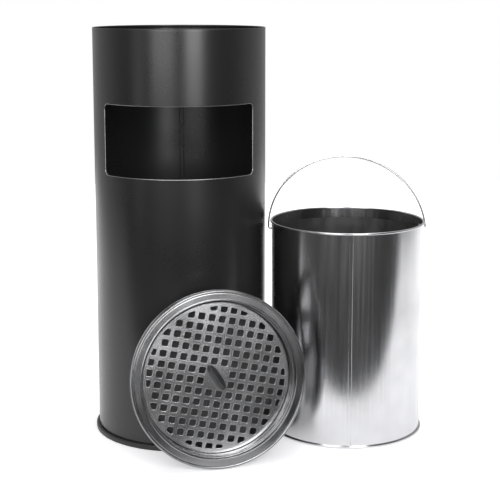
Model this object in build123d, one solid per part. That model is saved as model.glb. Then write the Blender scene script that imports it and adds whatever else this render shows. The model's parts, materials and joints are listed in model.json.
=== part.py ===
from build123d import *
import math
import os

# Ashtray bin, shown taken apart: a round steel shell with a waste aperture, the galvanised
# liner that stands inside it, and the ash pan with its sieve that drops into its top.
# Millimetres. Origin on the floor at the centre of the shell, +Z up, aperture facing -Y.

# Shell
SHELL_RADIUS = 128.0
SHELL_HEIGHT = 610.0
SHELL_SHEET = 0.8
SHELL_HEM_HEIGHT = 4.0
SHELL_SEAM_WIDTH = 7.0
APERTURE_BOTTOM = 399.0
APERTURE_HEIGHT = 104.0
APERTURE_HALF_ANGLE = 57.0
APERTURE_CORNER = 8.0

# Foot of the shell
RING_RADIUS = 132.6
RING_HEIGHT = 8.0
RING_GROOVE_DEPTH = 5.0
RING_INNER_RADIUS = 123.0
BASE_SHEET = 1.0
BASE_LEVEL = 10.0
BASE_FLANGE = 14.0

# Lugs that carry the ash pan inside the top of the shell
LUG_ANGLES = {"front": -90, "right": 0, "back": 90, "left": 180}
LUG_WIDTH = 16.0
LUG_DROP = 18.0
LUG_SHELF = 8.0
LUG_SHEET = 1.5

# Liner, standing beside the shell
LINER_X = 251.8
LINER_Y = -13.3
LINER_TOP_RADIUS = 115.2
LINER_FOOT_RADIUS = 113.8
LINER_HEIGHT = 321.6
LINER_SHEET = 0.6
LINER_SEAM_WIDTH = 5.0
LINER_SEAM_TURN = -3.0
RIM_TUBE_RADIUS = 1.7
RIM_WIRE_RADIUS = 1.05
LINER_RING_RADIUS = 116.6
LINER_RING_HEIGHT = 3.6
LINER_BASE_LEVEL = 4.0

# Bail of the liner
BAIL_WIRE_RADIUS = 1.3
BAIL_RADIUS = 119.1
BAIL_PIVOT_HEIGHT = 308.6
BAIL_LEAN = 32.0
BAIL_HOLE_RADIUS = 1.9
BAIL_TIP_INSET = 4.0
BAIL_TIP_LENGTH = 6.0

# Ash pan, standing on its rim and leaning back on the shell
PAN_RADIUS = 125.6
PAN_SHEET = 0.8
PAN_BEAD = 4.0
PAN_SKIRT = 13.0
PAN_MOUTH_RADIUS = 111.4
PAN_STEP_RADIUS = 107.6
PAN_STEP_DEPTH = 6.0
PAN_LEDGE_RADIUS = 103.0
PAN_LEDGE_DEPTH = 21.0
PAN_DEPTH = 58.0
PAN_CORNER = 7.0
PAN_LEAN = 7.0
PAN_DISTANCE = 198.3
PAN_BEARING = 16.65
PAN_FACING = 14.0
PAN_ROLL = -13.0

# Sieve in the ash pan
SIEVE_RADIUS = 106.9
SIEVE_SHEET = 1.0
SIEVE_CLEARANCE = 0.35
HOLE_PITCH = 15.0
HOLE_SIDE = 9.4
HOLE_CORNER = 2.0
HOLE_ROWS = 14
HOLE_FIELD_RADIUS = 101.0
GRIP_LENGTH = 43.0
GRIP_WIDTH = 11.0
GRIP_HEIGHT = 8.0
GRIP_SHEET = 0.8

LINER_PLACE = Location((LINER_X, LINER_Y, 0))


def pan_place():
    """Frame of the ash pan: its flange plane, with Z along the pan's axis out of its mouth."""
    lean = math.radians(PAN_LEAN)
    facing = math.radians(PAN_FACING)
    bearing = math.radians(PAN_BEARING)
    height = PAN_RADIUS * math.cos(lean) + PAN_SKIRT * math.sin(lean)
    centre = (PAN_DISTANCE * math.sin(bearing), -PAN_DISTANCE * math.cos(bearing), height)
    axis = (math.sin(facing) * math.cos(lean), -math.cos(facing) * math.cos(lean), math.sin(lean))
    level = (math.cos(facing), math.sin(facing), 0)
    return Plane(origin=centre, x_dir=level, z_dir=axis).location


PAN_PLACE = pan_place()


def ring(outer, inner, bottom, top):
    """Plain ring about Z between two heights."""
    height = top - bottom
    body = Pos(0, 0, bottom + height / 2) * Cylinder(outer, height)
    return body - Pos(0, 0, bottom + height / 2) * Cylinder(inner, height + 1)


def turned(points):
    """Solid of revolution about Z from a closed outline of (radius, height) points."""
    outline = Polyline(*[(radius, 0, height) for radius, height in points], close=True)
    return revolve(make_face(outline), Axis.Z, 360)


def sector(half_angle, bottom, top, reach):
    """Wedge from the Z axis, open by half_angle each side of -Y."""
    side = reach * math.sin(math.radians(half_angle))
    front = -reach * math.cos(math.radians(half_angle))
    face = make_face(Polyline((0, 0), (side, front), (-side, front), close=True))
    return Pos(0, 0, bottom) * extrude(face, top - bottom)


def aperture_cutter():
    """Rounded rectangle wrapped round the front of the shell."""
    reach = 2.5 * SHELL_RADIUS
    corner_angle = math.degrees(APERTURE_CORNER / SHELL_RADIUS)
    top = APERTURE_BOTTOM + APERTURE_HEIGHT
    wide = sector(APERTURE_HALF_ANGLE, APERTURE_BOTTOM + APERTURE_CORNER, top - APERTURE_CORNER, reach)
    tall = sector(APERTURE_HALF_ANGLE - corner_angle, APERTURE_BOTTOM, top, reach)
    cutter = wide + tall
    for side in (-1, 1):
        angle = side * (APERTURE_HALF_ANGLE - corner_angle)
        for height in (APERTURE_BOTTOM + APERTURE_CORNER, top - APERTURE_CORNER):
            drill = Pos(0, -SHELL_RADIUS, height) * Rot(90, 0, 0) * Cylinder(APERTURE_CORNER, 30)
            cutter += Rot(0, 0, angle) * drill
    return cutter


def outer_shell():
    """Rolled sheet tube with a folded hem at the top and a lock seam inside its back."""
    inner = SHELL_RADIUS - SHELL_SHEET
    hem = inner - SHELL_SHEET
    foot = RING_HEIGHT - RING_GROOVE_DEPTH
    hem_bottom = SHELL_HEIGHT - SHELL_HEM_HEIGHT
    ease = SHELL_SHEET * 0.6
    wall = turned([
        (SHELL_RADIUS, foot),
        (SHELL_RADIUS, SHELL_HEIGHT - ease),
        (SHELL_RADIUS - ease, SHELL_HEIGHT),
        (hem + ease, SHELL_HEIGHT),
        (hem, SHELL_HEIGHT - ease),
        (hem, hem_bottom),
        (inner, hem_bottom - SHELL_SHEET),
        (inner, foot),
    ])
    seam_bottom = BASE_LEVEL + BASE_FLANGE + 2
    seam_height = hem_bottom - LUG_DROP - 22 - seam_bottom
    seam = Pos(0, inner - 0.5, seam_bottom + seam_height / 2) * Box(SHELL_SEAM_WIDTH, 1.6, seam_height)
    return wall + seam - aperture_cutter()


def base_ring():
    """Floor ring that holds the bottom edge of the shell in a groove."""
    groove_inner = SHELL_RADIUS - SHELL_SHEET - 0.1
    groove = ring(SHELL_RADIUS + 0.1, groove_inner, RING_HEIGHT - RING_GROOVE_DEPTH, RING_HEIGHT + 1)
    body = turned([
        (RING_INNER_RADIUS, 0),
        (RING_RADIUS - 1.5, 0),
        (RING_RADIUS, 1.5),
        (RING_RADIUS, RING_HEIGHT - 2.5),
        (RING_RADIUS - 2.5, RING_HEIGHT),
        (RING_INNER_RADIUS, RING_HEIGHT),
    ])
    return body - groove


def base_plate():
    """Pressed floor of the shell: a disc with its edge turned up against the wall."""
    outer = SHELL_RADIUS - SHELL_SHEET - 0.1
    inner = outer - BASE_SHEET
    bend = 2.0
    return turned([
        (0, BASE_LEVEL),
        (outer - bend, BASE_LEVEL),
        (outer, BASE_LEVEL + bend),
        (outer, BASE_LEVEL + BASE_FLANGE),
        (inner, BASE_LEVEL + BASE_FLANGE),
        (inner, BASE_LEVEL + bend + BASE_SHEET),
        (inner - bend, BASE_LEVEL + BASE_SHEET),
        (0, BASE_LEVEL + BASE_SHEET),
    ])


def tray_lug(angle):
    """Bent angle welded inside the wall; its shelf carries the lip of the ash pan's skirt."""
    shelf_top = SHELL_HEIGHT - 1 - PAN_SKIRT
    wall_radius = SHELL_RADIUS - SHELL_SHEET - 0.1
    plate = ring(wall_radius, wall_radius - LUG_SHEET, shelf_top - LUG_DROP, shelf_top)
    shelf = ring(wall_radius, wall_radius - LUG_SHELF, shelf_top - LUG_SHEET, shelf_top)
    slice_box = Pos(wall_radius, 0, shelf_top - LUG_DROP / 2) * Box(40, LUG_WIDTH, LUG_DROP + 2)
    return Rot(0, 0, angle) * ((plate + shelf) & slice_box)


def liner_radius(height):
    """Outside radius of the slightly tapered liner wall at a height."""
    share = height / LINER_HEIGHT
    return LINER_FOOT_RADIUS + (LINER_TOP_RADIUS - LINER_FOOT_RADIUS) * share


def liner_wall():
    """Rolled liner wall with a curled rim, a lock seam down its front and two bail holes."""
    foot = 0.8
    rim_height = LINER_HEIGHT - RIM_TUBE_RADIUS
    top = liner_radius(rim_height)
    bottom = liner_radius(foot)
    wall = turned([
        (bottom, foot),
        (top, rim_height),
        (top - LINER_SHEET, rim_height),
        (bottom - LINER_SHEET, foot),
    ])
    rim_radius = top - LINER_SHEET / 2
    rim = Pos(0, 0, rim_height) * Torus(rim_radius, RIM_TUBE_RADIUS)
    wire_space = Pos(0, 0, rim_height) * Torus(rim_radius, RIM_WIRE_RADIUS + 0.05)
    seam_height = LINER_HEIGHT - 2 * RIM_TUBE_RADIUS - LINER_RING_HEIGHT - 4
    seam_middle = LINER_RING_HEIGHT + 2 + seam_height / 2
    taper = math.degrees(math.atan((LINER_TOP_RADIUS - LINER_FOOT_RADIUS) / LINER_HEIGHT))
    seam = Rot(taper, 0, 0) * Box(LINER_SEAM_WIDTH, 1.0, seam_height)
    seam = Rot(0, 0, LINER_SEAM_TURN) * Pos(0, -liner_radius(seam_middle), seam_middle) * seam
    holes = Rot(0, 90, 0) * Cylinder(BAIL_HOLE_RADIUS, 2.4 * LINER_TOP_RADIUS)
    holes = Pos(0, 0, BAIL_PIVOT_HEIGHT) * holes
    return LINER_PLACE * (wall + rim + seam - wire_space - holes)


def liner_rim_wire():
    """Stiffening wire rolled into the liner's rim."""
    rim_height = LINER_HEIGHT - RIM_TUBE_RADIUS
    rim_radius = liner_radius(rim_height) - LINER_SHEET / 2
    return LINER_PLACE * Pos(0, 0, rim_height) * Torus(rim_radius, RIM_WIRE_RADIUS)


def liner_base():
    """Raised floor of the liner, folded round the bottom edge of its wall as a standing ring."""
    edge = liner_radius(0)
    inside = edge - LINER_SHEET - 0.05
    outside = liner_radius(LINER_RING_HEIGHT) + 0.05
    floor = turned([
        (0, LINER_BASE_LEVEL),
        (inside - LINER_SHEET, LINER_BASE_LEVEL),
        (inside - LINER_SHEET, 0),
        (LINER_RING_RADIUS - 0.8, 0),
        (LINER_RING_RADIUS, 0.8),
        (LINER_RING_RADIUS, LINER_RING_HEIGHT - 0.8),
        (LINER_RING_RADIUS - 0.8, LINER_RING_HEIGHT),
        (outside, LINER_RING_HEIGHT),
        (outside, 0.7),
        (inside, 0.7),
        (inside, LINER_BASE_LEVEL + LINER_SHEET),
        (0, LINER_BASE_LEVEL + LINER_SHEET),
    ])
    return LINER_PLACE * floor


def bail():
    """Half-round wire handle; each end turns in through the wall and ends in a short hook."""
    wall_inner = liner_radius(BAIL_PIVOT_HEIGHT) - LINER_SHEET
    tip_x = wall_inner - BAIL_TIP_INSET
    bow = ThreePointArc((-BAIL_RADIUS, 0, 0), (0, 0, BAIL_RADIUS), (BAIL_RADIUS, 0, 0))
    profile = Plane(origin=(-BAIL_RADIUS, 0, 0), z_dir=(0, 0, 1)) * Circle(BAIL_WIRE_RADIUS)
    wire = sweep(profile, path=bow)
    for side in (-1, 1):
        stub_length = BAIL_RADIUS - tip_x
        stub_middle = side * (tip_x + stub_length / 2)
        wire += Pos(stub_middle, 0, 0) * Rot(0, 90, 0) * Cylinder(BAIL_WIRE_RADIUS, stub_length)
        wire += Pos(side * BAIL_RADIUS, 0, 0) * Sphere(BAIL_WIRE_RADIUS)
        wire += Pos(side * tip_x, 0, 0) * Sphere(BAIL_WIRE_RADIUS)
        wire += Pos(side * tip_x, 0, BAIL_TIP_LENGTH / 2) * Cylinder(BAIL_WIRE_RADIUS, BAIL_TIP_LENGTH)
    return LINER_PLACE * Pos(0, 0, BAIL_PIVOT_HEIGHT) * Rot(-BAIL_LEAN, 0, 0) * wire


def ash_pan():
    """Pressed pan: beaded rim with a turned-down skirt, stepped wall, sieve ledge and flat floor."""
    sheet = PAN_SHEET
    skirt_outer = PAN_RADIUS - 0.9
    flange = PAN_RADIUS - PAN_BEAD
    upper = [
        (0, -PAN_DEPTH + sheet),
        (PAN_LEDGE_RADIUS - PAN_CORNER - sheet, -PAN_DEPTH + sheet),
        (PAN_LEDGE_RADIUS - sheet, -PAN_DEPTH + PAN_CORNER + sheet),
        (PAN_LEDGE_RADIUS - sheet, -PAN_LEDGE_DEPTH),
        (PAN_STEP_RADIUS, -PAN_LEDGE_DEPTH),
        (PAN_STEP_RADIUS, -PAN_STEP_DEPTH),
        (PAN_MOUTH_RADIUS, -PAN_STEP_DEPTH + 1.0),
        (PAN_MOUTH_RADIUS, -0.4),
        (PAN_MOUTH_RADIUS + 0.6, 0.3),
        (PAN_MOUTH_RADIUS + 1.4, -0.2),
        (flange, -0.2),
        (flange + 0.8, 0.6),
        (PAN_RADIUS - 1.6, 0.4),
        (PAN_RADIUS - 0.4, -0.8),
        (PAN_RADIUS, -2.6),
    ]
    under = [
        (PAN_RADIUS - 0.6, -4.0),
        (skirt_outer, -5.0),
        (skirt_outer, -PAN_SKIRT + 2.0),
        (PAN_RADIUS, -PAN_SKIRT + 1.2),
        (PAN_RADIUS, -PAN_SKIRT),
        (skirt_outer - sheet, -PAN_SKIRT),
        (skirt_outer - sheet, -2.0),
        (PAN_MOUTH_RADIUS + 1.4 + sheet, -2.0),
        (PAN_MOUTH_RADIUS + sheet, -3.0),
        (PAN_MOUTH_RADIUS + sheet, -PAN_STEP_DEPTH - sheet + 0.6),
        (PAN_STEP_RADIUS + sheet, -PAN_STEP_DEPTH - sheet),
        (PAN_STEP_RADIUS + sheet, -PAN_LEDGE_DEPTH - sheet),
        (PAN_LEDGE_RADIUS, -PAN_LEDGE_DEPTH - sheet),
        (PAN_LEDGE_RADIUS, -PAN_DEPTH + PAN_CORNER),
        (PAN_LEDGE_RADIUS - PAN_CORNER, -PAN_DEPTH),
        (0, -PAN_DEPTH),
    ]
    return PAN_PLACE * turned(upper + under)


def sieve_holes():
    """Square punched holes on a square grid, clipped by the round field, none at the centre."""
    span = (HOLE_ROWS - 1) / 2
    places = []
    for column in range(HOLE_ROWS):
        for row in range(HOLE_ROWS):
            x = (column - span) * HOLE_PITCH
            y = (row - span) * HOLE_PITCH
            centre_hole = abs(x) < HOLE_PITCH and abs(y) < HOLE_PITCH
            if math.hypot(x, y) < HOLE_FIELD_RADIUS + 1 and not centre_hole:
                places.append((x, y))
    field = Circle(HOLE_FIELD_RADIUS)
    return [Pos(x, y) * RectangleRounded(HOLE_SIDE, HOLE_SIDE, HOLE_CORNER) & field for x, y in places]


def sieve():
    """Flat perforated plate lying on the ledge of the pan."""
    top = -PAN_LEDGE_DEPTH + SIEVE_CLEARANCE + SIEVE_SHEET
    plate = extrude(Circle(SIEVE_RADIUS) - sieve_holes(), SIEVE_SHEET)
    return PAN_PLACE * Rot(0, 0, PAN_ROLL) * Pos(0, 0, top - SIEVE_SHEET) * plate


def sieve_grip():
    """Folded strip standing as a ridge on the blank middle of the sieve."""
    top = -PAN_LEDGE_DEPTH + SIEVE_CLEARANCE + SIEVE_SHEET
    half = GRIP_WIDTH / 2
    thick = GRIP_SHEET
    tent = make_face(Polyline(
        (-half - 2, 0, 0),
        (-half, 0, 0),
        (0, 0, GRIP_HEIGHT - 1.5 * thick),
        (half, 0, 0),
        (half + 2, 0, 0),
        (half + 2, 0, thick),
        (half + 0.3, 0, thick),
        (0.4, 0, GRIP_HEIGHT),
        (-0.4, 0, GRIP_HEIGHT),
        (-half - 0.3, 0, thick),
        (-half - 2, 0, thick),
        close=True,
    ))
    strip = extrude(tent, GRIP_LENGTH / 2, both=True)
    return PAN_PLACE * Rot(0, 0, PAN_ROLL + 45) * Pos(0, 0, top + 0.02) * strip


def parts():
    """Every separate piece by its node name."""
    pieces = {
        "outer_shell": outer_shell(),
        "base_plate": base_plate(),
        "base_ring": base_ring(),
        "liner_wall": liner_wall(),
        "liner_rim_wire": liner_rim_wire(),
        "liner_base": liner_base(),
        "bail": bail(),
        "ash_pan": ash_pan(),
        "sieve": sieve(),
        "sieve_grip": sieve_grip(),
    }
    for name, angle in LUG_ANGLES.items():
        pieces[f"tray_lug_{name}"] = tray_lug(angle)
    return pieces


os.makedirs("parts", exist_ok=True)
for node, shape in parts().items():
    export_step(shape, f"parts/{node}.step")
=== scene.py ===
import json
import math

import bpy
from mathutils import Matrix, Vector


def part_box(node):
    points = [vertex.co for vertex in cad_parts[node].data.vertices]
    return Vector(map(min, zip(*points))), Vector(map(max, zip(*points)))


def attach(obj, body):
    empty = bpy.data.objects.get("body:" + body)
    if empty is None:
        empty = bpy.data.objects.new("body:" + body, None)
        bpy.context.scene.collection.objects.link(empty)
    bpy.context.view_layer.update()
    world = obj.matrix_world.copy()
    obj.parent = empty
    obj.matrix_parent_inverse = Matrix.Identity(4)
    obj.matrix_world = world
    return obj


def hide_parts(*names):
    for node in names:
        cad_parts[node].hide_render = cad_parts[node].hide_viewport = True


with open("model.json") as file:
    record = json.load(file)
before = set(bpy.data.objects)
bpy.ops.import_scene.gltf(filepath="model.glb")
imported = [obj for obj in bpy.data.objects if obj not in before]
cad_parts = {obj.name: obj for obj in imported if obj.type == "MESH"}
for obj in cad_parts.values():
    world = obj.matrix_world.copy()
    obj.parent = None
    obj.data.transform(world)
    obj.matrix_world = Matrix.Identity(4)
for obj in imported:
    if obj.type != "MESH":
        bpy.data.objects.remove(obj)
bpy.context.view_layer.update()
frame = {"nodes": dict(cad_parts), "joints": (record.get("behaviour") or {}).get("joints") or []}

# Ashtray bin: black shell, bright liner with its wire bail, and the ash pan with its sieve
# leaning on the shell. Metres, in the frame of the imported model.

# Camera: its place, heading and downward pitch in degrees, and its lens
CAMERA_POINT = (0.0415, -1.8971, 0.660)
CAMERA_HEADING = 1.92
CAMERA_PITCH = 9.51
CAMERA_SHIFT = -0.09
FOCAL_LENGTH = 91.3
SENSOR_WIDTH = 36.0

# Driving sizes of the detailed pieces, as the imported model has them; angles in degrees
SHELL_SHEET = 0.0008
HEM_HEIGHT = 0.004
APERTURE_BOTTOM = 0.399
APERTURE_HEIGHT = 0.104
APERTURE_HALF_ANGLE = 57.0
APERTURE_CORNER = 0.008
APERTURE_FOLD_RADIUS = 0.0007
SHELL_SEAM_WIDTH = 0.007
SHELL_SEAM_RISE = 0.0012
RING_INNER_RADIUS = 0.123
RING_GROOVE = 0.005
LINER_FOOT_RADIUS = 0.1138
LINER_TOP_RADIUS = 0.1152
LINER_SHEET = 0.0006
RIM_TUBE_RADIUS = 0.0017
LINER_SEAM_WIDTH = 0.005
LINER_SEAM_RISE = 0.0005
LINER_SEAM_TURN = -3.0
LINER_RING_HEIGHT = 0.0036
BAIL_WIRE_RADIUS = 0.0013
BAIL_RADIUS = 0.1191
BAIL_LEAN = 32.0
BAIL_HOLE_RADIUS = 0.0019
BAIL_TIP_INSET = 0.004
BAIL_TIP_LENGTH = 0.006
BAIL_HOOK_BEND = 0.0016
BAIL_SHOULDER_BEND = 0.0022
PAN_RADIUS = 0.1256
PAN_SHEET = 0.0008
PAN_SKIRT = 0.013
PAN_MOUTH_RADIUS = 0.1114
PAN_STEP_RADIUS = 0.1076
PAN_STEP_DEPTH = 0.006
PAN_LEDGE_RADIUS = 0.103
PAN_LEDGE_DEPTH = 0.021
PAN_DEPTH = 0.058
PAN_CORNER = 0.007
PAN_ROLL = -13.0
SIEVE_RADIUS = 0.1069
SIEVE_SHEET = 0.001
SIEVE_BEVEL = 0.0003
SIEVE_CLEARANCE = 0.00035
HOLE_PITCH = 0.015
HOLE_SIDE = 0.0094
HOLE_CORNER = 0.002
HOLE_ROWS = 14
HOLE_FIELD_RADIUS = 0.101
GRIP_LENGTH = 0.043
GRIP_WIDTH = 0.011
GRIP_FLARE = 0.0015
GRIP_HEIGHT = 0.008

# Facets round a turned piece, the sharpest angle that is shaded smooth, and a hair's breadth
# that keeps two faces from lying in one plane
ROUND = 192
SMOOTH_ANGLE = 38
HAIR = 0.00005


# ---------------------------------------------------------------- meshes

def new_piece(name, points, faces, material, edge_material=None, edge_faces=()):
    """Smooth-shaded mesh object from points and faces, with an optional second material."""
    mesh = bpy.data.meshes.new(name)
    mesh.from_pydata([tuple(point) for point in points], [], faces)
    mesh.materials.append(material)
    if edge_material is not None:
        mesh.materials.append(edge_material)
        for index in edge_faces:
            mesh.polygons[index].material_index = 1
    mesh.shade_smooth()
    mesh.set_sharp_from_angle(angle=math.radians(SMOOTH_ANGLE))
    mesh.validate()
    piece = bpy.data.objects.new(name, mesh)
    bpy.context.scene.collection.objects.link(piece)
    return piece


def arc(centre, radius, start, end, steps):
    """Points of a circular arc in the (radius, height) plane, angles in degrees."""
    points = []
    for step in range(steps + 1):
        angle = math.radians(start + (end - start) * step / steps)
        points.append((centre[0] + radius * math.cos(angle), centre[1] + radius * math.sin(angle)))
    return points


def turned(name, outline, material, place=Matrix(), closed=True, steps=ROUND):
    """Solid of revolution about the Z axis of place; the outline may touch the axis."""
    points = []
    rings = []
    for radius, height in outline:
        if radius < 1e-6:
            rings.append([len(points)] * steps)
            points.append(place @ Vector((0, 0, height)))
            continue
        ring = []
        for step in range(steps):
            angle = 2 * math.pi * step / steps
            ring.append(len(points))
            points.append(place @ Vector((radius * math.cos(angle), radius * math.sin(angle), height)))
        rings.append(ring)
    faces = []
    count = len(rings)
    for index in range(count if closed else count - 1):
        low = rings[index]
        high = rings[(index + 1) % count]
        for step in range(steps):
            after = (step + 1) % steps
            corners = [low[step], low[after], high[after], high[step]]
            face = []
            for corner in corners:
                if corner not in face:
                    face.append(corner)
            if len(face) > 2:
                faces.append(face)
    return new_piece(name, points, faces, material)


def opening_marks(low, high, corner, steps=7):
    """Grid marks across an opening: its two ends and the samples of its rounded corners."""
    marks = []
    for step in range(steps + 1):
        offset = corner * (1 - math.cos(math.pi / 2 * step / steps))
        marks.append(low + offset)
        marks.append(high - offset)
    return marks


def merged(marks):
    """Sorted marks without doubles."""
    kept = []
    for mark in sorted(marks):
        if not kept or mark - kept[-1] > 1e-6:
            kept.append(mark)
    return kept


def is_open(across, up, opening):
    """True if a point of the unrolled sheet lies well inside the rounded opening."""
    centre_across, centre_up, half_width, half_height, corner = opening
    aside = abs(across - centre_across) - (half_width - corner)
    above = abs(up - centre_up) - (half_height - corner)
    reach = math.hypot(max(aside, 0), max(above, 0))
    return reach < corner * 0.999


def wrapped_wall(name, radius_at, sheet, span, openings, material, edge_material, place=Matrix()):
    """Round sheet wall with rounded openings, on a grid that passes through their corner samples.

    An opening is (across, up, half_width, half_height, corner) on the unrolled sheet, where
    across is the arc length from -Y. A grid cell with one corner in an opening becomes a triangle.
    """
    bottom, top = span
    girth_radius = radius_at((bottom + top) / 2)
    half_girth = math.pi * girth_radius
    columns = [half_girth * (2 * step / ROUND - 1) for step in range(ROUND)]
    rows = [bottom + (top - bottom) * step / 16 for step in range(17)]
    for across, up, half_width, half_height, corner in openings:
        columns += opening_marks(across - half_width, across + half_width, corner)
        rows += opening_marks(up - half_height, up + half_height, corner)
    columns = merged(columns)
    rows = merged(rows)

    points = []
    for depth in (0.0, sheet):
        for up in rows:
            radius = radius_at(up) - depth
            for across in columns:
                angle = across / girth_radius
                points.append(place @ Vector((radius * math.sin(angle), -radius * math.cos(angle), up)))

    width = len(columns)
    layer = width * len(rows)
    faces = []
    edges = set()
    for row in range(len(rows) - 1):
        for column in range(width):
            after = (column + 1) % width
            cell = []
            for at_column, at_row in ((column, row), (after, row), (after, row + 1), (column, row + 1)):
                if not any(is_open(columns[at_column], rows[at_row], opening) for opening in openings):
                    cell.append(at_row * width + at_column)
            if len(cell) < 3:
                continue
            faces.append(cell)
            faces.append([corner + layer for corner in reversed(cell)])
            edges.update(zip(cell, cell[1:] + cell[:1]))

    first_edge_face = len(faces)
    for start, end in sorted(edges):
        if (end, start) not in edges:
            faces.append([end, start, start + layer, end + layer])
    edge_faces = range(first_edge_face, len(faces))
    return new_piece(name, points, faces, material, edge_material, edge_faces)


def tube_along(name, path, radius, material, place=Matrix(), sides=20, cyclic=False):
    """Round wire along a smooth path, with capped ends when it is open."""
    curve = bpy.data.curves.new(name, "CURVE")
    curve.dimensions = "3D"
    curve.bevel_depth = radius
    curve.bevel_resolution = sides // 4
    curve.use_fill_caps = not cyclic
    spline = curve.splines.new("POLY")
    spline.points.add(len(path) - 1)
    for point, spot in zip(spline.points, path):
        point.co = (*(place @ Vector(spot)), 1)
    spline.use_cyclic_u = cyclic
    return curve_to_piece(name, curve, material)


def curve_to_piece(name, curve, material, place=Matrix(), crease=50):
    """Mesh object made from a curve, which is then removed; edges over crease degrees stay sharp."""
    maker = bpy.data.objects.new(name + "_maker", curve)
    bpy.context.scene.collection.objects.link(maker)
    bpy.context.view_layer.update()
    mesh = bpy.data.meshes.new_from_object(maker.evaluated_get(bpy.context.evaluated_depsgraph_get()))
    bpy.data.objects.remove(maker)
    bpy.data.curves.remove(curve)
    mesh.name = name
    mesh.transform(place)
    mesh.materials.clear()
    mesh.materials.append(material)
    mesh.shade_smooth()
    mesh.set_sharp_from_angle(angle=math.radians(crease))
    piece = bpy.data.objects.new(name, mesh)
    bpy.context.scene.collection.objects.link(piece)
    return piece


# ---------------------------------------------------------------- materials

def new_material(name):
    """New material, with its node tree and its shader."""
    material = bpy.data.materials.new(name)
    material.use_nodes = True
    tree = material.node_tree
    shader = tree.nodes["Principled BSDF"]
    return material, tree, shader


def coordinates(tree, scale=(1, 1, 1)):
    """Object coordinates stretched by scale."""
    where = tree.nodes.new("ShaderNodeTexCoord")
    stretch = tree.nodes.new("ShaderNodeMapping")
    stretch.inputs["Scale"].default_value = scale
    tree.links.new(where.outputs["Object"], stretch.inputs["Vector"])
    return stretch.outputs["Vector"]


def noise(tree, vector, scale, detail=3.0, roughness=0.5):
    """Noise value between 0 and 1."""
    node = tree.nodes.new("ShaderNodeTexNoise")
    node.inputs["Scale"].default_value = scale
    node.inputs["Detail"].default_value = detail
    node.inputs["Roughness"].default_value = roughness
    tree.links.new(vector, node.inputs["Vector"])
    return node.outputs["Fac"]


def ranged(tree, value, low, high, start=0.3, end=0.7, smooth=False):
    """Value mapped from start..end to low..high, with an eased start and end if smooth."""
    node = tree.nodes.new("ShaderNodeMapRange")
    if smooth:
        node.interpolation_type = "SMOOTHSTEP"
    node.inputs["From Min"].default_value = start
    node.inputs["From Max"].default_value = end
    node.inputs["To Min"].default_value = low
    node.inputs["To Max"].default_value = high
    tree.links.new(value, node.inputs["Value"])
    return node.outputs["Result"]


def graded(tree, value, dark, light, start=0.3, end=0.7):
    """Grey colour between dark and light, driven by value."""
    ramp = tree.nodes.new("ShaderNodeValToRGB")
    ramp.color_ramp.elements[0].position = start
    ramp.color_ramp.elements[0].color = (dark, dark, dark * 1.02, 1)
    ramp.color_ramp.elements[1].position = end
    ramp.color_ramp.elements[1].color = (light, light, light * 1.02, 1)
    tree.links.new(value, ramp.inputs["Fac"])
    return ramp.outputs["Color"]


def bump(tree, shader, height, strength, distance):
    """Bump from a height value."""
    node = tree.nodes.new("ShaderNodeBump")
    node.inputs["Strength"].default_value = strength
    node.inputs["Distance"].default_value = distance
    tree.links.new(height, node.inputs["Height"])
    tree.links.new(node.outputs["Normal"], shader.inputs["Normal"])


def powder_coat(name, dark, light, smooth, rough):
    """Baked powder coat: fine orange peel over a slightly uneven satin black."""
    material, tree, shader = new_material(name)
    grain = noise(tree, coordinates(tree), 900, 4.0)
    cloud = noise(tree, coordinates(tree), 9, 2.0)
    tree.links.new(graded(tree, grain, dark, light), shader.inputs["Base Color"])
    tree.links.new(ranged(tree, cloud, smooth, rough), shader.inputs["Roughness"])
    shader.inputs["Specular IOR Level"].default_value = 0.5
    bump(tree, shader, grain, 0.12, 0.0002)
    return material


def rolled_metal(name, dark, light, smooth, rough, grain_axis, grain_strength):
    """Bright sheet metal: rolling lines along one axis and soft cloudy wear."""
    material, tree, shader = new_material(name)
    across = [260.0, 260.0, 260.0]
    across[grain_axis] = 5.0
    lines = noise(tree, coordinates(tree, across), 1.0, 4.0, 0.6)
    cloud = noise(tree, coordinates(tree), 14, 3.0)
    tree.links.new(graded(tree, cloud, dark, light), shader.inputs["Base Color"])
    tree.links.new(ranged(tree, lines, smooth, rough), shader.inputs["Roughness"])
    shader.inputs["Metallic"].default_value = 1.0
    bump(tree, shader, lines, grain_strength, 0.0002)
    return material


def pressed_metal(name, dark, light, smooth, rough):
    """Pressed satin sheet: even sheen with a soft cloud and very fine grain."""
    material, tree, shader = new_material(name)
    grain = noise(tree, coordinates(tree), 1500, 2.0)
    cloud = noise(tree, coordinates(tree), 22, 3.0)
    tree.links.new(graded(tree, cloud, dark, light), shader.inputs["Base Color"])
    tree.links.new(ranged(tree, cloud, smooth, rough), shader.inputs["Roughness"])
    shader.inputs["Metallic"].default_value = 1.0
    bump(tree, shader, grain, 0.008, 0.0001)
    return material


def shade_painted_metal(name, dark, light):
    """Dark metal with a faint mottle: painted shade for the insides, where shade falls in the hollows."""
    material, tree, shader = new_material(name)
    mottle = noise(tree, coordinates(tree, (1, 1, 0.5)), 60, 5.0)
    tree.links.new(graded(tree, mottle, dark, light), shader.inputs["Base Color"])
    tree.links.new(ranged(tree, mottle, 0.45, 0.6), shader.inputs["Roughness"])
    shader.inputs["Metallic"].default_value = 0.6
    bump(tree, shader, mottle, 0.1, 0.0003)
    return material


def ring_plastic(name):
    """Moulded black plastic of the floor ring, with a fine spark texture."""
    material, tree, shader = new_material(name)
    spark = noise(tree, coordinates(tree), 1400, 2.0)
    tree.links.new(graded(tree, spark, 0.010, 0.020), shader.inputs["Base Color"])
    tree.links.new(ranged(tree, spark, 0.38, 0.5), shader.inputs["Roughness"])
    bump(tree, shader, spark, 0.2, 0.0002)
    return material


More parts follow.
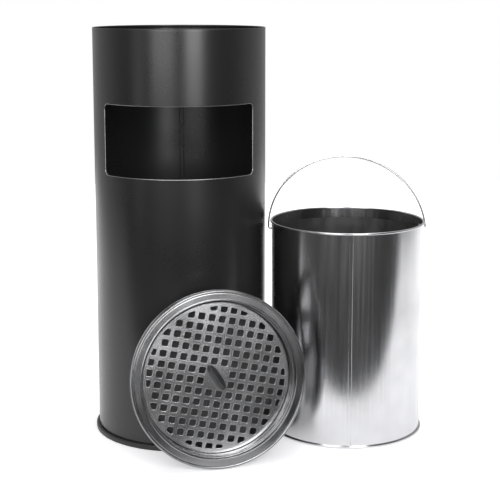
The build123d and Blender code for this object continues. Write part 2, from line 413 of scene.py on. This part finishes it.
def pale_floor():
    """White studio floor with a barely visible unevenness, glowing more towards its far end."""
    material, tree, shader = new_material("pale_floor")
    cloud = noise(tree, coordinates(tree), 3, 2.0)
    tree.links.new(graded(tree, cloud, 0.93, 0.96), shader.inputs["Base Color"])
    shader.inputs["Roughness"].default_value = 0.9
    shader.inputs["Specular IOR Level"].default_value = 0.0
    shader.inputs["Emission Color"].default_value = (1, 1, 1, 1)
    split = tree.nodes.new("ShaderNodeSeparateXYZ")
    tree.links.new(coordinates(tree), split.inputs["Vector"])
    glow = ranged(tree, split.outputs["Y"], 0.35, 1.0, 0.0, 1.2)
    tree.links.new(glow, shader.inputs["Emission Strength"])
    return material


COATING = powder_coat("black_powder_coat", 0.010, 0.017, 0.25, 0.31)
BARE_EDGE = rolled_metal("sheared_edge", 0.30, 0.42, 0.30, 0.42, 2, 0.1)
PLASTIC = ring_plastic("ring_plastic")
ZINC = rolled_metal("bright_zinc", 0.54, 0.66, 0.16, 0.24, 2, 0.03)
# Painted shade: the liner's inside and the pan's floor under the sieve are dark metal where shade falls in
# these hollows.
ZINC_INSIDE_SHADE = shade_painted_metal("dull_zinc", 0.05, 0.09)
PAN_SHADE = shade_painted_metal("pan_soot", 0.04, 0.08)
WIRE = rolled_metal("bright_wire", 0.60, 0.72, 0.18, 0.28, 0, 0.05)
PAN_STEEL = pressed_metal("pan_steel", 0.20, 0.27, 0.20, 0.26)
# The grip is a darker copy of the sieve's steel: painted shade on the ridge.
GRIP_SHADED_STEEL = pressed_metal("grip_steel", 0.10, 0.16, 0.30, 0.38)
SIEVE_STEEL = pressed_metal("sieve_steel", 0.44, 0.52, 0.20, 0.26)


# ---------------------------------------------------------------- shell

def node_axis(node):
    """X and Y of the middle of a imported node."""
    low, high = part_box(node)
    return (low[0] + high[0]) / 2, (low[1] + high[1]) / 2


def shell_sizes():
    """Outside radius, foot and top of the shell from its packed box."""
    low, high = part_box("outer_shell")
    return (high[0] - low[0]) / 2, low[2], high[2]


def make_shell():
    """Rolled wall with the aperture, its hem, and the lock seam inside its back."""
    radius, foot, top = shell_sizes()
    wall_top = top - HEM_HEIGHT
    half_width = math.radians(APERTURE_HALF_ANGLE) * radius
    middle = APERTURE_BOTTOM + APERTURE_HEIGHT / 2
    aperture = (0.0, middle, half_width, APERTURE_HEIGHT / 2, APERTURE_CORNER)
    wall = wrapped_wall(
        "shell_wall", lambda up: radius, SHELL_SHEET, (foot, wall_top), [aperture], COATING, BARE_EDGE
    )
    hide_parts("outer_shell")
    inner = radius - 2 * SHELL_SHEET
    outline = [(radius - SHELL_SHEET, wall_top - 0.0006), (radius, wall_top - 0.0001)]
    outline += arc((radius - 0.0007, top - 0.0007), 0.0007, 0, 90, 5)
    outline += arc((inner + 0.0007, top - 0.0007), 0.0007, 90, 180, 5)
    outline += [(inner, wall_top + 0.0004), (inner + 0.0004, wall_top - 0.0002)]
    hem = turned("shell_hem", outline, COATING)
    lip = make_aperture_lip(radius, half_width, middle)
    seam = make_shell_seam(radius - SHELL_SHEET, foot + 0.024, wall_top - 0.045)
    for piece in (wall, hem, lip, seam):
        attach(piece, "bin")
    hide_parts("outer_shell")


def make_aperture_lip(radius, half_width, middle):
    """Folded safety edge round the aperture, just inside the cut."""
    path = []
    half_height = APERTURE_HEIGHT / 2
    corners = ((1, -1, -90), (1, 1, 0), (-1, 1, 90), (-1, -1, 180))
    for side, up, start in corners:
        centre_across = side * (half_width - APERTURE_CORNER)
        centre_up = middle + up * (half_height - APERTURE_CORNER)
        for step in range(9):
            turn = math.radians(start + 90 * step / 8)
            across = centre_across + APERTURE_CORNER * math.cos(turn)
            height = centre_up + APERTURE_CORNER * math.sin(turn)
            path.append((across, height))
    filled = []
    for start, end in zip(path, path[1:] + path[:1]):
        steps = max(1, round(math.dist(start, end) / 0.006))
        for step in range(steps):
            share = step / steps
            across = start[0] + (end[0] - start[0]) * share
            height = start[1] + (end[1] - start[1]) * share
            filled.append((across, height))
    at = radius - 0.0009
    loop = [(at * math.sin(x / radius), -at * math.cos(x / radius), z) for x, z in filled]
    return tube_along("aperture_edge", loop, APERTURE_FOLD_RADIUS, BARE_EDGE, cyclic=True, sides=12)


def make_shell_seam(inner, bottom, top):
    """Flattened lock seam down the inside of the shell's back."""
    half = SHELL_SEAM_WIDTH / 2
    rise = SHELL_SEAM_RISE
    steps = 24
    section = []
    for across, depth in ((-half, 0), (-half + 0.0008, rise), (half - 0.0008, rise), (half, 0)):
        section.append((across, inner - 0.0001 - depth))
    points = []
    faces = []
    for step in range(steps + 1):
        height = bottom + (top - bottom) * step / steps
        points += [Vector((across, back, height)) for across, back in section]
    size = len(section)
    for step in range(steps):
        for index in range(size):
            corner = step * size + index
            after = step * size + (index + 1) % size
            faces.append([corner, after, after + size, corner + size])
    faces.append(list(range(size)))
    faces.append([steps * size + index for index in reversed(range(size))])
    return new_piece("shell_seam", points, faces, COATING)


def make_base_ring():
    """Moulded floor ring with softened edges and the groove that takes the shell."""
    low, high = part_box("base_ring")
    radius = (high[0] - low[0]) / 2
    shell_radius = shell_sizes()[0]
    top = high[2]
    inner = RING_INNER_RADIUS
    floor = top - RING_GROOVE
    gap = 0.0002
    outline = [(inner, 0.0004), (inner + 0.0004, 0.0)]
    outline += arc((radius - 0.0014, 0.0014), 0.0014, -90, 0, 5)
    outline += arc((radius - 0.0022, top - 0.0022), 0.0022, 0, 90, 6)
    outline += [(shell_radius + 0.0008, top), (shell_radius + 0.0005, top - 0.0006)]
    outline += [(shell_radius + gap, floor), (shell_radius - SHELL_SHEET - gap, floor)]
    lip = shell_radius - SHELL_SHEET - gap
    outline += [(lip, top - 0.0004), (lip - 0.0006, top)]
    outline += [(inner + 0.0005, top), (inner, top - 0.0005)]
    ring = turned("floor_ring", outline, PLASTIC)
    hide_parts("base_ring")
    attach(ring, "bin")


# ---------------------------------------------------------------- liner and bail

def liner_place():
    """Matrix that puts a piece made about the Z axis on the liner's axis."""
    x, y = node_axis("liner_base")
    return Matrix.Translation((x, y, 0))


def liner_radius(height):
    """Outside radius of the tapered liner wall."""
    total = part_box("liner_wall")[1][2]
    return LINER_FOOT_RADIUS + (LINER_TOP_RADIUS - LINER_FOOT_RADIUS) * height / total


def bail_pivot_height():
    """Height of the bail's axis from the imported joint."""
    joint = next(joint for joint in frame["joints"] if joint["name"] == "bail_swing")
    return joint["pos_m"][2]


def make_liner():
    """Bright outside and painted-shade dark inside of the wall, the curled rim, the seam and the foot."""
    place = liner_place()
    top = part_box("liner_wall")[1][2]
    rim_height = top - RIM_TUBE_RADIUS
    pivot = bail_pivot_height()
    quarter = math.pi / 2 * liner_radius(top / 2)
    hole = BAIL_HOLE_RADIUS
    holes = [(side * quarter, pivot, hole, hole, hole) for side in (-1, 1)]
    wall = wrapped_wall(
        "liner_outside", liner_radius, LINER_SHEET, (0.001, rim_height), holes, ZINC, ZINC, place
    )
    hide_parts("liner_wall")
    lining = make_liner_lining(place, 0.006, pivot - 0.004)
    rim_radius = liner_radius(rim_height) - LINER_SHEET / 2
    rim = turned("liner_rim", arc((rim_radius, rim_height), RIM_TUBE_RADIUS, 0, 345, 23), ZINC, place)
    seam = make_liner_seam(place, rim_height - 0.002)
    foot = make_liner_foot(place)
    for piece in (wall, lining, rim, seam, foot):
        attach(piece, "liner")


def make_liner_lining(place, bottom, top):
    """Thin dark layer on the inside of the liner, below its bail holes: painted shade inside the bin."""
    foot = liner_radius(bottom) - LINER_SHEET
    head = liner_radius(bail_pivot_height()) - LINER_SHEET
    near = 0.00004
    far = 0.00008
    outline = [(foot - near, bottom), (head - near, top), (head - far, top), (foot - far, bottom)]
    # Dark layer over the inside of the zinc: painted shade.
    return turned("liner_inside", outline, ZINC_INSIDE_SHADE, place)


def make_liner_seam(place, top):
    """Flat lock seam down the front of the liner, a shallow fold with soft edges."""
    half = LINER_SEAM_WIDTH / 2
    rise = LINER_SEAM_RISE
    bottom = LINER_RING_HEIGHT + 0.001
    steps = 20
    profile = [(-half, 0.0), (-half + 0.0004, 0.0004), (-half + 0.001, rise)]
    profile += [(half - 0.0005, rise), (half, 0.0)]
    points = []
    faces = []
    for step in range(steps + 1):
        height = bottom + (top - bottom) * step / steps
        radius = liner_radius(height) - HAIR
        for across, out in profile:
            angle = across / radius + math.radians(LINER_SEAM_TURN)
            reach = radius + out
            points.append(place @ Vector((reach * math.sin(angle), -reach * math.cos(angle), height)))
    size = len(profile)
    for step in range(steps):
        for index in range(size - 1):
            corner = step * size + index
            faces.append([corner, corner + 1, corner + 1 + size, corner + size])
    return new_piece("liner_seam", points, faces, ZINC)


def make_liner_foot(place):
    """Floor of the liner with the folded standing ring round its wall."""
    low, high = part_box("liner_base")
    radius = (high[0] - low[0]) / 2
    inside = liner_radius(0) - LINER_SHEET - HAIR
    ring_top = LINER_RING_HEIGHT
    ring_inner = liner_radius(ring_top) + HAIR
    outline = [(0, 0.004), (inside - 0.0012, 0.004)]
    outline += [(inside - LINER_SHEET, 0.0034), (inside - LINER_SHEET, 0.0004)]
    outline += [(inside - 0.0002, 0.0)]
    outline += arc((radius - 0.0009, 0.0009), 0.0009, -90, 0, 4)
    outline += arc((radius - 0.0009, ring_top - 0.0009), 0.0009, 0, 90, 4)
    outline += [(ring_inner, ring_top), (ring_inner, 0.0009)]
    outline += [(inside, 0.0009), (inside, 0.0044), (inside - 0.0008, high[2]), (0, high[2])]
    foot = turned("liner_foot", outline, ZINC, place, closed=False)
    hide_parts("liner_base")
    return foot


def make_bail():
    """Wire handle: a half round, with bends that turn in through the wall to a short hook."""
    pivot = bail_pivot_height()
    lean = Matrix.Rotation(math.radians(-BAIL_LEAN), 4, "X")
    place = liner_place() @ Matrix.Translation((0, 0, pivot)) @ lean
    tip = liner_radius(pivot) - LINER_SHEET - BAIL_TIP_INSET
    hook = BAIL_HOOK_BEND
    bend = BAIL_SHOULDER_BEND
    side = [(tip, BAIL_TIP_LENGTH)]
    side += [(tip + hook * (1 - math.cos(t)), hook * (1 - math.sin(t))) for t in quarter_bend(6)]
    turn_x = BAIL_RADIUS - bend
    side += [(turn_x + bend * math.sin(t), bend * (1 - math.cos(t))) for t in quarter_bend(6)]
    start = math.asin(bend / BAIL_RADIUS)
    bow = []
    steps = 72
    for step in range(1, steps):
        angle = start + (math.pi - 2 * start) * step / steps
        bow.append((BAIL_RADIUS * math.cos(angle), BAIL_RADIUS * math.sin(angle)))
    mirrored = [(-x, z) for x, z in reversed(side)]
    path = [(x, 0, z) for x, z in side + bow + mirrored]
    wire = tube_along("bail_wire", path, BAIL_WIRE_RADIUS, WIRE, place)
    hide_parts("bail")
    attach(wire, "bail")


def quarter_bend(steps):
    """Angles of a quarter bend in radians."""
    return [math.pi / 2 * step / steps for step in range(steps + 1)]


# ---------------------------------------------------------------- ash pan and sieve

def pan_axis():
    """Unit vector along the pan's axis, out of its mouth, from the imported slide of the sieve."""
    joint = next(joint for joint in frame["joints"] if joint["name"] == "sieve_lift")
    return Vector(joint["axis"]).normalized()


def pan_place():
    """Matrix of the pan: its flange plane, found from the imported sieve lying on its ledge."""
    axis = pan_axis()
    low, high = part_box("sieve")
    middle = (Vector(low) + Vector(high)) / 2
    sieve_middle = -PAN_LEDGE_DEPTH + SIEVE_CLEARANCE + SIEVE_SHEET / 2
    centre = middle - axis * sieve_middle
    level = Vector((-axis.y, axis.x, 0)).normalized()
    rise = axis.cross(level)
    turn = Matrix((level, rise, axis)).transposed().to_4x4()
    return Matrix.Translation(centre) @ turn


def make_pan(place):
    """Pressed pan with a beaded rim, turned-down skirt, stepped wall, sieve ledge and floor."""
    sheet = PAN_SHEET
    skirt = PAN_RADIUS - 0.0009
    flange = PAN_RADIUS - 0.004
    mouth = PAN_MOUTH_RADIUS
    outline = [(0, -PAN_DEPTH + sheet)]
    corner = PAN_CORNER
    outline += arc((PAN_LEDGE_RADIUS - corner - sheet, -PAN_DEPTH + corner + sheet), corner, -90, 0, 6)
    outline += arc((PAN_LEDGE_RADIUS - sheet + 0.0008, -PAN_LEDGE_DEPTH - 0.0008), 0.0008, 180, 90, 3)
    outline += [(PAN_STEP_RADIUS - 0.0006, -PAN_LEDGE_DEPTH), (PAN_STEP_RADIUS, -PAN_LEDGE_DEPTH + 0.0006)]
    outline += arc((PAN_STEP_RADIUS + 0.001, -PAN_STEP_DEPTH - 0.001), 0.001, 180, 90, 4)
    outline += arc((mouth - 0.0012, -PAN_STEP_DEPTH + 0.0012), 0.0012, -90, 0, 4)
    outline += arc((mouth + 0.0007, -0.0004), 0.0007, 180, 50, 6)
    outline += [(mouth + 0.0016, -0.0002), (mouth + 0.0022, -0.0002)]
    outline += [(flange - 0.0010, -0.0002), (flange - 0.0004, -0.0002)]
    outline += arc((flange + 0.0022, -0.0016), 0.0022, 150, 0, 10)
    outline += [(skirt - 0.0002, -0.0035), (skirt, -0.0045), (skirt, -PAN_SKIRT + 0.002)]
    outline += arc((PAN_RADIUS - 0.0006, -PAN_SKIRT + 0.0007), 0.0006, 90, -90, 6)
    outline += [(skirt - sheet, -PAN_SKIRT + 0.0002), (skirt - sheet, -0.002)]
    outline += [(mouth + 0.0022, -0.002), (mouth + sheet, -0.003)]
    outline += [(mouth + sheet, -PAN_STEP_DEPTH - 0.0002)]
    outline += [(PAN_STEP_RADIUS + sheet, -PAN_STEP_DEPTH - sheet)]
    outline += [(PAN_STEP_RADIUS + sheet, -PAN_LEDGE_DEPTH - sheet)]
    outline += [(PAN_LEDGE_RADIUS, -PAN_LEDGE_DEPTH - sheet)]
    outline += arc((PAN_LEDGE_RADIUS - corner, -PAN_DEPTH + corner), corner, 0, -90, 6)
    outline += [(0, -PAN_DEPTH)]
    pan = turned("pan_body", outline, PAN_STEEL, place, closed=False)
    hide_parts("ash_pan")
    lining = make_pan_lining(place)
    for piece in (pan, lining):
        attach(piece, "ashtray")


def make_pan_lining(place):
    """Thin dark layer on the floor and wall of the pan below the sieve: painted shade under the sieve."""
    wall = PAN_LEDGE_RADIUS - PAN_SHEET
    floor = -PAN_DEPTH + PAN_SHEET
    corner = PAN_CORNER
    coat = 0.00006
    outer = [(0, floor + coat / 2)]
    outer += arc((wall - corner, floor + corner), corner - coat / 2, -90, 0, 6)
    outer += [(wall - coat / 2, -PAN_LEDGE_DEPTH - 0.003)]
    inner = [(wall - coat, -PAN_LEDGE_DEPTH - 0.003)]
    inner += arc((wall - corner, floor + corner), corner - coat, 0, -90, 6)
    inner += [(0, floor + coat)]
    # Dark layer under the sieve: painted shade.
    return turned("pan_soot", outer + inner, PAN_SHADE, place, closed=False)


def rounded_square(x, y, side, corner, steps=4):
    """Points of a rounded square about a centre."""
    half = side / 2 - corner
    points = []
    for across, up, start in ((1, 1, 0), (-1, 1, 90), (-1, -1, 180), (1, -1, 270)):
        for step in range(steps + 1):
            angle = math.radians(start + 90 * step / steps)
            point_x = x + across * half + corner * math.cos(angle)
            point_y = y + up * half + corner * math.sin(angle)
            points.append((point_x, point_y))
    return points


def clipped(points, radius):
    """The part of a closed outline inside a circle about the origin."""
    kept = []
    for start, end in zip(points, points[1:] + points[:1]):
        start_in = math.hypot(*start) <= radius
        end_in = math.hypot(*end) <= radius
        if start_in:
            kept.append(start)
        if start_in != end_in:
            low, high = (start, end) if start_in else (end, start)
            for _ in range(20):
                middle = ((low[0] + high[0]) / 2, (low[1] + high[1]) / 2)
                if math.hypot(*middle) <= radius:
                    low = middle
                else:
                    high = middle
            kept.append(low)
    return kept


def sieve_holes(grow=0.0):
    """Outlines of the punched holes, cut off by the edge of the punched field."""
    span = (HOLE_ROWS - 1) / 2
    outlines = []
    for column in range(HOLE_ROWS):
        for row in range(HOLE_ROWS):
            x = (column - span) * HOLE_PITCH
            y = (row - span) * HOLE_PITCH
            in_blank = abs(x) < HOLE_PITCH and abs(y) < HOLE_PITCH
            if in_blank or math.hypot(x, y) > HOLE_FIELD_RADIUS + 0.001:
                continue
            square = rounded_square(x, y, HOLE_SIDE + grow, HOLE_CORNER + grow / 2)
            outline = clipped(square, HOLE_FIELD_RADIUS + grow / 2)
            if len(outline) > 4:
                outlines.append(outline)
    return outlines


def flat_curve(name, outlines, extrude, bevel, fill):
    """Curve of closed outlines in its own plane."""
    curve = bpy.data.curves.new(name, "CURVE")
    curve.dimensions = "2D" if fill else "3D"
    curve.fill_mode = "BOTH" if fill else "FULL"
    curve.extrude = extrude
    curve.bevel_depth = bevel
    curve.bevel_resolution = 2
    for outline in outlines:
        spline = curve.splines.new("POLY")
        spline.points.add(len(outline) - 1)
        for point, (x, y) in zip(spline.points, outline):
            point.co = (x, y, 0, 1)
        spline.use_cyclic_u = True
    return curve


def make_sieve(place):
    """Perforated plate with eased edges, and the raised burr round every hole."""
    bevel = SIEVE_BEVEL
    circle = arc((0, 0), SIEVE_RADIUS - bevel, 0, 360, ROUND)[:-1]
    middle = -PAN_LEDGE_DEPTH + SIEVE_CLEARANCE + SIEVE_SHEET / 2
    roll = Matrix.Rotation(math.radians(PAN_ROLL), 4, "Z")
    turned_place = place @ roll @ Matrix.Translation((0, 0, middle))
    holes = sieve_holes(2 * bevel)
    curve = flat_curve("sieve_plate", [circle] + holes, SIEVE_SHEET / 2 - bevel, bevel, True)
    plate = curve_to_piece("sieve_plate", curve, SIEVE_STEEL, turned_place, crease=12)
    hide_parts("sieve")
    burr_place = turned_place @ Matrix.Translation((0, 0, SIEVE_SHEET / 2 - 0.0001))
    burr_curve = flat_curve("sieve_burrs", sieve_holes(0.0008), 0.0, 0.0002, False)
    burrs = curve_to_piece("sieve_burrs", burr_curve, SIEVE_STEEL, burr_place)
    for piece in (plate, burrs):
        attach(piece, "sieve")
    return turned_place


def make_grip(sieve_place):
    """Folded ridge across the blank middle: straight flanks, a soft crest and pinched ends."""
    diagonal = Matrix.Rotation(math.radians(45), 4, "Z")
    place = sieve_place @ diagonal @ Matrix.Translation((0, 0, SIEVE_SHEET / 2))
    half = GRIP_WIDTH / 2 + GRIP_FLARE
    flank = [(-half, 0.0001), (-half + 0.0006, 0.0004), (-0.0010, GRIP_HEIGHT - 0.0009)]
    crest = [(-0.0005, GRIP_HEIGHT - 0.0002), (0.0, GRIP_HEIGHT), (0.0005, GRIP_HEIGHT - 0.0002)]
    profile = flank + crest + [(-x, z) for x, z in reversed(flank)]
    points = []
    faces = []
    steps = 36
    size = len(profile)
    for step in range(steps + 1):
        share = 2 * step / steps - 1
        swell = max(0.0, 1 - abs(share) ** 3.5) ** 0.75
        along = share * GRIP_LENGTH / 2
        for x, z in profile:
            points.append(place @ Vector((x * (0.15 + 0.85 * swell), along, 0.0001 + z * swell)))
    for step in range(steps):
        for index in range(size - 1):
            corner = step * size + index
            faces.append([corner, corner + 1, corner + 1 + size, corner + size])
        corner = step * size
        faces.append([corner + size - 1, corner, corner + size, corner + 2 * size - 1])
    faces.append(list(reversed(range(size))))
    faces.append([steps * size + index for index in range(size)])
    # Darker copy of the sieve's steel: painted shade on the ridge.
    grip = new_piece("grip_ridge", points, faces, GRIP_SHADED_STEEL)
    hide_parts("sieve_grip")
    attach(grip, "sieve")


# ---------------------------------------------------------------- carried-over nodes

def finish_carried_nodes():
    """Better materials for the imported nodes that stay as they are."""
    finishes = {"base_plate": COATING, "liner_rim_wire": WIRE}
    for side in ("front", "right", "back", "left"):
        finishes["tray_lug_" + side] = COATING
    for node, material in finishes.items():
        mesh = frame["nodes"][node].data
        mesh.materials.clear()
        mesh.materials.append(material)


# ---------------------------------------------------------------- studio

def make_floor():
    """Pale table top: it ends a little in front of the pieces, so metal mirrors the dark room."""
    front, back, left, right = -0.36, 2.5, -1.6, 1.9
    material = pale_floor()
    points = [(left, front, 0), (right, front, 0), (right, back, 0), (left, back, 0)]
    floor = new_piece("studio_floor", [Vector(point) for point in points], [[0, 1, 2, 3]], material)


def make_world():
    """White to the camera; to the objects a dim room, lighter above and behind them."""
    world = bpy.data.worlds.new("studio")
    bpy.context.scene.world = world
    world.use_nodes = True
    tree = world.node_tree
    room = tree.nodes["Background"]
    output = tree.nodes["World Output"]
    where = tree.nodes.new("ShaderNodeTexCoord")
    split = tree.nodes.new("ShaderNodeSeparateXYZ")
    tree.links.new(where.outputs["Generated"], split.inputs["Vector"])
    total = tree.nodes.new("ShaderNodeMath")
    total.operation = "ADD"
    behind = ranged(tree, split.outputs["Y"], 0.05, 0.50, -0.4, 0.4, smooth=True)
    above = ranged(tree, split.outputs["Z"], 0.0, 0.06, -0.16, 0.12, smooth=True)
    tree.links.new(behind, total.inputs[0])
    tree.links.new(above, total.inputs[1])
    tree.links.new(total.outputs["Value"], room.inputs["Strength"])
    room.inputs["Color"].default_value = (1, 1, 1, 1)
    white = tree.nodes.new("ShaderNodeBackground")
    white.inputs["Color"].default_value = (1, 1, 1, 1)
    path = tree.nodes.new("ShaderNodeLightPath")
    pick = tree.nodes.new("ShaderNodeMixShader")
    tree.links.new(path.outputs["Is Camera Ray"], pick.inputs["Fac"])
    tree.links.new(room.outputs["Background"], pick.inputs[1])
    tree.links.new(white.outputs["Background"], pick.inputs[2])
    tree.links.new(pick.outputs["Shader"], output.inputs["Surface"])


def soft_light(name, place, target, width, height, power):
    """Rectangular soft light aimed at a point."""
    light = bpy.data.lights.new(name, "AREA")
    light.shape = "RECTANGLE"
    light.size = width
    light.size_y = height
    light.energy = power
    lamp = bpy.data.objects.new(name, light)
    lamp.location = place
    lamp.rotation_euler = (Vector(target) - Vector(place)).to_track_quat("-Z", "Y").to_euler()
    bpy.context.scene.collection.objects.link(lamp)


def make_lights():
    """Overhead softbox, a strip at the left, and two softboxes in front."""
    soft_light("overhead", (0.1, 0.1, 2.2), (0.1, 0.0, 0.0), 2.0, 1.8, 24)
    soft_light("left_panel", (-1.35, -1.05, 0.80), (0.1, 0.0, 0.40), 0.45, 1.4, 1.7)
    soft_light("front_softbox", (0.75, -2.1, 1.15), (0.0, 0.0, 0.95), 0.8, 1.5, 34)
    soft_light("front_fill", (-0.75, -2.1, 1.15), (0.0, 0.0, 0.95), 1.2, 1.5, 26)


def make_camera():
    """Camera at the measured viewing point, with the small shift its framing needs."""
    camera = bpy.data.cameras.new("camera")
    camera.sensor_width = SENSOR_WIDTH
    camera.lens = FOCAL_LENGTH
    camera.shift_y = CAMERA_SHIFT
    camera.clip_end = 50
    stand = bpy.data.objects.new("camera", camera)
    stand.location = CAMERA_POINT
    stand.rotation_euler = (math.radians(90 - CAMERA_PITCH), 0, math.radians(-CAMERA_HEADING))
    bpy.context.scene.collection.objects.link(stand)
    bpy.context.scene.camera = stand
    bpy.context.scene.view_settings.view_transform = "Standard"


def main():
    """Builds the whole scene."""
    make_camera()
    make_world()
    make_lights()
    make_floor()
    make_shell()
    make_base_ring()
    make_liner()
    make_bail()
    place = pan_place()
    make_pan(place)
    make_grip(make_sieve(place))
    finish_carried_nodes()


main()
